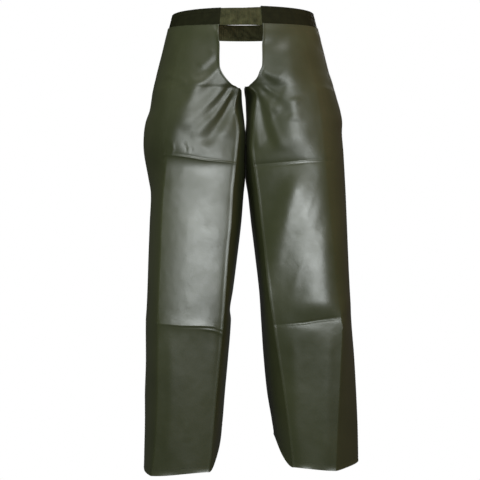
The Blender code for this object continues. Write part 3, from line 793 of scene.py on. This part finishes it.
def columnPlaces(first, *names):  # the columns of each turn from the first on, and the last edge
    parts = [first + part + np.linspace(0.0, 1.0, cloth[name] + 1)[:-1] for part, name in enumerate(names)]
    return np.concatenate(parts + [[first + len(names)]])


def panelForm(leg, turn, drop, top, easeEnd, seams):  # the plain sheet, its outward directions, its heights
    shift = np.where(turn == seams[0], 0.5, 0.0) - np.where(turn == seams[1], 0.5, 0.0)
    turn = np.minimum(turn, cloth["lastTurn"])
    z = mix(waist["sideTop"], cloth["hemLimit"], drop)
    hemShare = smoothStep((drop - cloth["hemEaseStart"]) / (1.0 - cloth["hemEaseStart"]))
    z = z + (top - waist["sideTop"]) * (1.0 - smoothStep(drop / easeEnd))
    z = z + (hemHeight(leg, turn) - cloth["hemLimit"]) * hemShare
    gap = alongSection(leg, turn, z) * (shift * edges["seamGap"])[..., None]
    return basePoint(leg, turn, z) + gap, clothNormal(leg, turn, z), z


def edgeRelief(distance, height, width):
    return height * np.exp(-((distance / width) ** 2))


def fromColumn(base, column):
    return np.linalg.norm(base - base[:, [column]], axis=2)


def hemRelief(leg, turn, z):
    above = z - hemHeight(leg, turn)
    share = edges["hemUneven"]
    uneven = 1.0 - share + share * np.sin(turn * edges["hemWaves"] + leg["buckleSeed"])
    curl = edges["hemCurl"] * uneven * (1.0 - smoothStep(above / edges["hemCurlLength"]))
    return curl - edgeRelief(above - edges["hemTurn"], *edges["hemGroove"])


def makeFrontPanel(leg):
    turned = edges["allowance"]  # these columns are turned in behind the back panel, at the outseam
    places = np.concatenate((turned, columnPlaces(0.0, "sideColumns", "frontColumns")))
    place, drop = np.meshgrid(places, rowShares())
    behind = place > 2.0
    turn = np.where(behind, 0.0, place)
    top = mix(waist["sideTop"], leg["frontTop"], smoothStep(turn / 2.0))
    base, normal, z = panelForm(leg, place, drop, top, cloth["frontEaseEnd"], (0.0, 2.0))
    fromTop = waist["sideTop"] - z
    folded = reach("frontFolds", turn) * smoothStep(fromTop / edges["topFade"])
    relief = folded * foldRelief(leg["frontFolds"], base[..., 0], z)
    relief += folded * packingRelief(leg["frontLines"], base[..., 0], z)
    buckled = reach("frontBuckles", turn) * smoothStep(fromTop / edges["frontBuckleFade"])
    relief += buckled * buckleRelief(base, leg["buckleSeed"])
    relief += edgeRelief(fromColumn(base, -1) - edges["lipPlace"], *edges["lip"])
    relief -= edgeRelief(fromColumn(base, len(turned)), *edges["seamDip"])
    relief = np.where(behind, -cloth["wall"] - edges["behind"], relief) + hemRelief(leg, place, z)
    grid = base + normal * relief[..., None]
    return finishPanel(f"frontPanel{leg['name']}", grid, leg, f"front_panel_{leg['node']}", len(turned))


def makeBackPanel(leg):
    places = columnPlaces(2.0, "insideColumns", "backInnerColumns", "backColumns", "backOuterColumns")
    turn, drop = np.meshgrid(places, rowShares())
    top = backTop(leg, turn)
    base, normal, z = panelForm(leg, turn, drop, top, cloth["backEaseEnd"], (2.0, 6.0))
    low = smoothStep((waist["sideTop"] - z) / edges["topFade"])
    folded = reach("backFolds", turn) * low
    relief = folded * foldRelief(leg["backFolds"], base[..., 0], z)
    relief += folded * packingRelief(leg["backLines"], base[..., 0], z)
    inwards = mix(edges["innerCalm"], 1.0, reach("outerBack", turn))
    relief += reach("backBuckles", turn) * low * inwards * buckleRelief(base, leg["buckleSeed"] + 40.0)
    relief -= edgeRelief(fromColumn(base, -1), *edges["seamDip"])
    relief += hemRelief(leg, np.minimum(turn, cloth["lastTurn"]), z)
    rolled = edgeRelief(top - z - edges["seatRollPlace"], *edges["seatRoll"])
    relief += rolled * reach("seatRoll", turn)
    grid = base + normal * relief[..., None]
    return finishPanel(f"backPanel{leg['name']}", grid, leg, f"back_panel_{leg['node']}")


surfaces = {}  # the outer surface of each panel and casing, for the stitches


def finishPanel(name, grid, leg, node, first=0):
    grid[..., 0] *= leg["side"]
    piece = clothMesh(name, grid, gridUv(grid), leg["side"] < 0)
    thicken(piece, cloth["wall"], (vinyl, backing, cutEdge))
    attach(piece, "root")
    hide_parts(node)
    surfaces[name] = grid[:, first:]
    return piece


for leg in legs:
    makeFrontPanel(leg)
    makeBackPanel(leg)
    print("panels made for the", leg["node"], "leg")


# The waistband casings: folded sleeves, so the profile runs up outside, over the fold and down
casing = {
    "stations": 150,
    "wall": 0.0009,
    "fold": 0.0022,  # radius of the rounded top
    "steps": (24, 8, 10),  # rows up the outside, over the fold and down the inside
    "ridges": ((0.0128, 0.0005, 0.0009), (0.0098, -0.0004, 0.0008), (-0.0150, -0.0005, 0.0010)),
    "puckers": 0.0004,
    "puckersGrow": (0.012, 0.010),  # from so far over the lower edge, within this height
    "puckerWaves": (46.0, 3.0, 7.0),  # how close they are, how far they wander and how often
    "edgeFade": 0.002,
    "proudest": 0.0006,
    "lift": 0.0003,
}


def makeCasing(leg):
    depth = 2 * waist["casingWall"] + waist["webbingThickness"] + 2 * waist["webbingClearance"]
    top, bottom, fold = leg["casingTop"], waist["casingBottom"], casing["fold"]
    up, over, down = casing["steps"]
    profile = [(0.0, mix(bottom, top - fold, step / up)) for step in range(up + 1)]
    for step in range(1, over + 1):
        angle = math.pi * step / over
        profile.append((depth / 2 * (1 - math.cos(angle)), top - fold + fold * math.sin(angle)))
    profile += [(depth, mix(top - fold, bottom, step / down)) for step in range(1, down + 1)]
    profile += [(depth * 0.5, bottom - 0.0001), (0.0, bottom)]
    inset, height = np.array(profile).T
    angles = np.linspace(edgeAngle(leg), math.radians(waist["backAngle"]), casing["stations"])
    angle, z = np.meshgrid(angles, height)
    inset = np.repeat(inset[:, None], len(angles), axis=1)
    outside = (inset < 1e-6).astype(float)
    relief = np.zeros_like(z)
    for place, proud, width in casing["ridges"]:
        relief += edgeRelief(z - place, proud, width)
    many, far, often = casing["puckerWaves"]
    wave = np.sin(angle * many + far * np.sin(angle * often + leg["buckleSeed"]))
    start, rise = casing["puckersGrow"]
    relief += casing["puckers"] * (wave - 1.0) * 0.5 * smoothStep((z - bottom - start) / rise)
    relief *= outside * smoothStep((z - bottom) / casing["edgeFade"])
    relief = np.minimum(relief, casing["proudest"])
    flat = ringPoint(angle, z, inset - relief + casing["lift"] * outside)
    grid = np.stack((flat[0] * leg["side"], flat[1], z), axis=-1)
    around = np.concatenate(([0.0], np.cumsum(np.hypot(np.diff(inset[:, 0]), np.diff(height)))))
    uv = np.stack(np.meshgrid(rowLengths(grid[:1])[0], around), axis=-1)
    piece = clothMesh(f"casing{leg['name']}", grid, uv, leg["side"] > 0)
    thicken(piece, casing["wall"], (casingCloth, casingCloth, casingCloth))
    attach(piece, "root")
    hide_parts(f"casing_{leg['node']}")
    surfaces[piece.name] = grid[:up + 1]
    return piece


casings = {leg["name"]: makeCasing(leg) for leg in legs}
print("casings made")

# The webbing: one loop, gathered into uneven ribs where it is bare
webbing = {
    "step": 0.0006,  # along the loop where it is bare
    "plainStep": 0.006,
    "rows": 22,
    "thinner": 0.0004,  # than the solid's, which leaves room for the ribs
    "edgeRoll": (0.0004, 0.03),  # height, and width as a share of the webbing's
    "backRibPitch": 0.0046,
    "backRibHeight": 0.0006,
    "backRibUneven": (0.3, 1.7, 0.6),  # share of the height, how often, where it begins
    "backRibSway": (0.12, 0.9, 4.0),
    "backFade": 0.03,
    "frontRise": (0.0028, 0.0024, 0.0048),  # how far its top stands higher at the front: right, middle, left
    "frontDrop": 0.0006,
    "mouthFade": (0.003, 0.008),  # how soon that begins at the right and the left casing
    "pastLeft": 0.010,
    # across from the middle at the foot of the rib, at its head, height, width, in millimetres
    "frontRibs": (
        (-48, -47.8, 0.5, 1), (-43.6, -43.4, 0.4, 0.9),
        (-38.5, -38.8, 0.7, 1.1), (-33.5, -33.5, 0.9, 1),
        (-29.2, -29, 0.5, 0.8), (-25.6, -25.4, 1, 1.1),
        (-21.2, -21.4, 0.6, 0.9), (-16.6, -16.3, 0.8, 1),
        (-12.4, -12.4, 0.5, 0.8), (-7.6, -7.4, 1.2, 1.3),
        (-3.4, -3, 0.7, 0.9), (0.2, 0.4, 0.9, 0.9),
        (3.6, 3.8, 1.1, 1), (6.6, 7, 0.5, 0.7),
        (8.8, 12, 1.3, 1), (18.2, 13.2, 1.3, 1),
        (22.2, 21.8, 0.6, 0.8), (26.2, 26, 0.5, 0.8),
        (30.4, 30.8, 1.4, 0.9), (34.6, 34.6, 0.6, 0.8),
        (38.6, 38.4, 0.7, 0.9),
    ),
}


def webbingAngles():
    right, left = (edgeAngle(leg) for leg in legs)
    back = math.radians(waist["backAngle"])
    radius = (waist["halfWidth"] + waist["halfDepth"]) / 2
    stops = (-right, left, back, 2 * math.pi - back, 2 * math.pi - right)
    steps = (webbing["step"], webbing["plainStep"]) * 2
    parts = []
    for first, last, step in zip(stops, stops[1:], steps):
        count = round((last - first) * radius / step)
        parts.append(np.linspace(first, last, count, endpoint=False))
    return np.concatenate(parts)


def makeWebbing():
    angles = webbingAngles()
    heights = np.linspace(waist["webbingTop"], waist["webbingBottom"], webbing["rows"])
    angle, z = np.meshgrid(angles, heights)
    head = (z - waist["webbingBottom"]) / (waist["webbingTop"] - waist["webbingBottom"])
    flat = ringPoint(angle, z)
    relief = np.zeros_like(z)
    front = (np.cos(angle) > 0).astype(float)
    for footX, headX, height, width in inMetres(webbing["frontRibs"]):
        place = mix(footX, headX, head)
        relief += front * edgeRelief(flat[0] - place, height, width)
    backHalf = math.pi - math.radians(waist["backAngle"])
    fromBack = np.abs((angle % (2 * math.pi)) - math.pi)
    onBack = smoothStep((backHalf - fromBack) / webbing["backFade"])
    across = flat[0] / webbing["backRibPitch"]
    share, often, start = webbing["backRibUneven"]
    uneven = 1.0 - share + share * np.sin(across * often + start)
    far, often, leaning = webbing["backRibSway"]
    sway = far * np.sin(across * often + leaning * head)
    relief += onBack * webbing["backRibHeight"] * uneven * np.sin(2 * math.pi * (across + sway))
    rightMouth, leftMouth = -legs[0]["rows"][0][4], legs[1]["rows"][0][4]
    rightFade, leftFade = webbing["mouthFade"]
    bare = front * smoothStep((flat[0] - rightMouth) / rightFade)
    bare *= smoothStep((leftMouth + webbing["pastLeft"] - flat[0]) / leftFade)
    rise = np.interp(flat[0], (rightMouth, 0.0, leftMouth), webbing["frontRise"])
    z = z + bare * (head * rise - (1.0 - head) * webbing["frontDrop"])
    rolled = edgeRelief(np.minimum(head, 1 - head), *webbing["edgeRoll"])
    inset = waist["casingWall"] + waist["webbingClearance"] + rolled
    flat = ringPoint(angle, z, inset - relief)
    grid = np.stack((flat[0], flat[1], z), axis=-1)
    grid = np.concatenate((grid, grid[:, :1]), axis=1)
    piece = clothMesh("beltWebbing", grid, gridUv(grid), True)
    select(piece)
    bpy.ops.object.mode_set(mode="EDIT")
    bpy.ops.mesh.select_all(action="SELECT")
    bpy.ops.mesh.remove_doubles(threshold=0.00001)
    bpy.ops.object.mode_set(mode="OBJECT")
    thicken(piece, waist["webbingThickness"] - webbing["thinner"], (webbingCloth, webbingCloth, webbingCloth))
    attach(piece, "root")
    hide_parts("belt_webbing")
    return piece


belt = makeWebbing()
print("webbing made")

# Sewing: rows of short stitches along the seams, edges and hems
sewing = {
    "length": 0.0027,
    "pitch": 0.0036,
    "thickness": 0.0005,
    "facets": 6,  # round a stitch and along it
    "lift": 0.00017,  # middle of the thread over the cloth
    "besideSeam": 0.0034,
    "belowTop": 0.0020,
    "aboveHem": 0.0140,
    "upCasing": 0.0345,  # from the casing's lower edge
    "seatEdge": 0.0050,
    "legMiddle": 0.12,  # how far outward; the stitches lie on the side away from it
}


def raisedGrid(name, middleX):
    grid = surfaces[name]
    normal = unit(np.cross(np.gradient(grid, axis=1), np.gradient(grid, axis=0)))
    away = grid[..., :2] - (middleX, 0.0)
    return grid + normal * np.sign((normal[..., :2] * away).sum()) * sewing["lift"]


def lineBeside(grid, place):  # so far in from the grid's first column
    lines = zip(rowLengths(grid), grid)
    return np.array([[np.interp(sewing[place], away, axis) for axis in line.T] for away, line in lines])


def makeStitchRow(path):
    guideData = bpy.data.curves.new("stitchLine", "CURVE")
    guideData.dimensions = "3D"
    spline = guideData.splines.new("POLY")
    spline.points.add(len(path) - 1)
    spline.points.foreach_set("co", np.column_stack((path, np.ones(len(path)))).ravel())
    guide = newObject("stitchLine", guideData)
    bpy.ops.object.select_all(action="DESELECT")
    size = (sewing["length"] / 2, sewing["thickness"] / 2, sewing["thickness"] / 2)
    facets = sewing["facets"]
    bpy.ops.mesh.primitive_uv_sphere_add(segments=facets, ring_count=facets, radius=1.0, scale=size)
    row = bpy.context.active_object
    bpy.ops.object.transform_apply(location=True, rotation=True, scale=True)
    repeat = row.modifiers.new("repeat", "ARRAY")
    repeat.use_relative_offset = False
    repeat.use_constant_offset = True
    repeat.constant_offset_displace = (sewing["pitch"], 0.0, 0.0)
    repeat.count = int(np.linalg.norm(np.diff(path, axis=0), axis=1).sum() / sewing["pitch"])
    follow = row.modifiers.new("follow", "CURVE")
    follow.object = guide
    bpy.ops.object.modifier_apply(modifier=repeat.name)
    bpy.ops.object.modifier_apply(modifier=follow.name)
    bpy.ops.object.shade_smooth()
    bpy.data.objects.remove(guide)
    return row


def makeSewing(name, paths):
    rows = [makeStitchRow(path) for path in paths]
    bpy.ops.object.select_all(action="DESELECT")
    for row in rows:
        row.select_set(True)
    bpy.context.view_layer.objects.active = rows[0]
    bpy.ops.object.join()
    piece = bpy.context.active_object
    piece.name = name
    piece.data.materials.append(thread)
    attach(piece, "root")


for leg in legs:
    middleX = leg["side"] * sewing["legMiddle"]
    front = raisedGrid(f"frontPanel{leg['name']}", middleX)
    back = raisedGrid(f"backPanel{leg['name']}", middleX)
    sleeve = raisedGrid(f"casing{leg['name']}", 0.0)
    seat = back.transpose(1, 0, 2)
    seat = seat[cloth["insideColumns"] + cloth["backInnerColumns"]:-cloth["backOuterColumns"]]
    makeSewing(f"legSewing{leg['name']}", (
        lineBeside(front, "besideSeam"),
        lineBeside(front[:, ::-1], "besideSeam"),
        lineBeside(front.transpose(1, 0, 2), "belowTop"),
        lineBeside(front[::-1].transpose(1, 0, 2), "aboveHem"),
        lineBeside(back[:, ::-1], "besideSeam"),
        lineBeside(back[::-1].transpose(1, 0, 2), "aboveHem"),
        lineBeside(seat, "seatEdge"),
    ))
    makeSewing(f"casingSewing{leg['name']}", (lineBeside(sleeve.transpose(1, 0, 2), "upCasing"),))
print("sewing made")

# Camera, light and floor
studio = {
    "cameraPlace": (-0.0071, -2.7, -0.508),
    "lens": 85.5,
    "floorHeight": -1.16,
    "around": 0.05,  # light from all round, next to the backdrop's 1.0
    "softOnly": ("leftSoftbox", "warmCard"),  # these don't show as reflections
}

# Place, aimed at, width and height, watts, colour
lamps = {
    "keySoftbox": ((0.42, -2.94, -0.31), (0.0, 0.0, -0.42), (1.6, 0.48), 48.0, (0.95, 1.0, 1.0)),
    "topSoftbox": ((0.0, -1.30, 2.20), (0.0, 0.0, -0.5), (1.2, 1.0), 60.0, (1.0, 1.0, 1.0)),
    "leftSoftbox": ((-2.8, -0.9, 0.1), (0.0, 0.0, -0.5), (1.2, 1.6), 34.0, (1.0, 1.0, 0.92)),
    "warmCard": ((2.2, -0.6, 0.7), (0.1, 0.0, -0.1), (1.6, 1.2), 30.0, (1.0, 0.46, 0.26)),
    "backSoftbox": ((0.4, 2.5, 1.45), (0.0, 0.0, -0.5), (2.2, 1.0), 110.0, (1.0, 1.0, 1.0)),
}


def makeCamera():
    data = bpy.data.cameras.new("photoCamera")
    data.lens = studio["lens"]
    data.sensor_width = 36.0
    camera = newObject("photoCamera", data)
    camera.location = studio["cameraPlace"]
    camera.rotation_euler = (math.radians(90), 0, 0)
    bpy.context.scene.camera = camera


def makeLight(name, place, target, size, power, colour):
    data = bpy.data.lights.new(name, "AREA")
    data.shape = "RECTANGLE"
    data.size, data.size_y = size
    data.energy = power
    data.color = colour
    lamp = newObject(name, data)
    lamp.location = place
    lamp.rotation_euler = (Vector(target) - Vector(place)).to_track_quat("-Z", "Y").to_euler()
    lamp.visible_glossy = name not in studio["softOnly"]


def makeFloor():  # bright enough to meet the backdrop without a line
    bpy.ops.object.select_all(action="DESELECT")
    bpy.ops.mesh.primitive_plane_add(size=40.0, location=(0, 0, studio["floorHeight"]))
    floor = bpy.context.active_object
    floor.name = "studioFloor"
    bpy.ops.object.transform_apply(location=True, rotation=True, scale=True)
    material, _, _, shader = newMaterial("paleFloor")
    setInputs(shader, {
        "Base Color": (0.0, 0.0, 0.0, 1.0),
        "Roughness": 0.9,
        "Specular IOR Level": 0.0,
        "Emission Color": (1.0, 1.0, 1.0, 1.0),
        "Emission Strength": 1.0,
    })
    floor.data.materials.append(material)
    floor.visible_glossy = False
    floor.visible_diffuse = False


def makeWorld():
    world = bpy.data.worlds.new("studioWorld")
    world.use_nodes = True
    nodes, links = world.node_tree.nodes, world.node_tree.links
    seen, around = nodes["Background"], nodes.new("ShaderNodeBackground")
    for background, strength in ((seen, 1.0), (around, studio["around"])):
        setInputs(background, {"Color": (1.0, 1.0, 1.0, 1.0), "Strength": strength})
    ray = nodes.new("ShaderNodeLightPath")
    blend = nodes.new("ShaderNodeMixShader")
    links.new(ray.outputs["Is Camera Ray"], blend.inputs["Fac"])
    links.new(around.outputs["Background"], blend.inputs[1])
    links.new(seen.outputs["Background"], blend.inputs[2])
    links.new(blend.outputs["Shader"], nodes["World Output"].inputs["Surface"])
    bpy.context.scene.world = world


makeCamera()
for lampName, settings in lamps.items():
    makeLight(lampName, *settings)
makeFloor()
makeWorld()
bpy.context.scene.view_settings.view_transform = "Standard"
print("studio made")
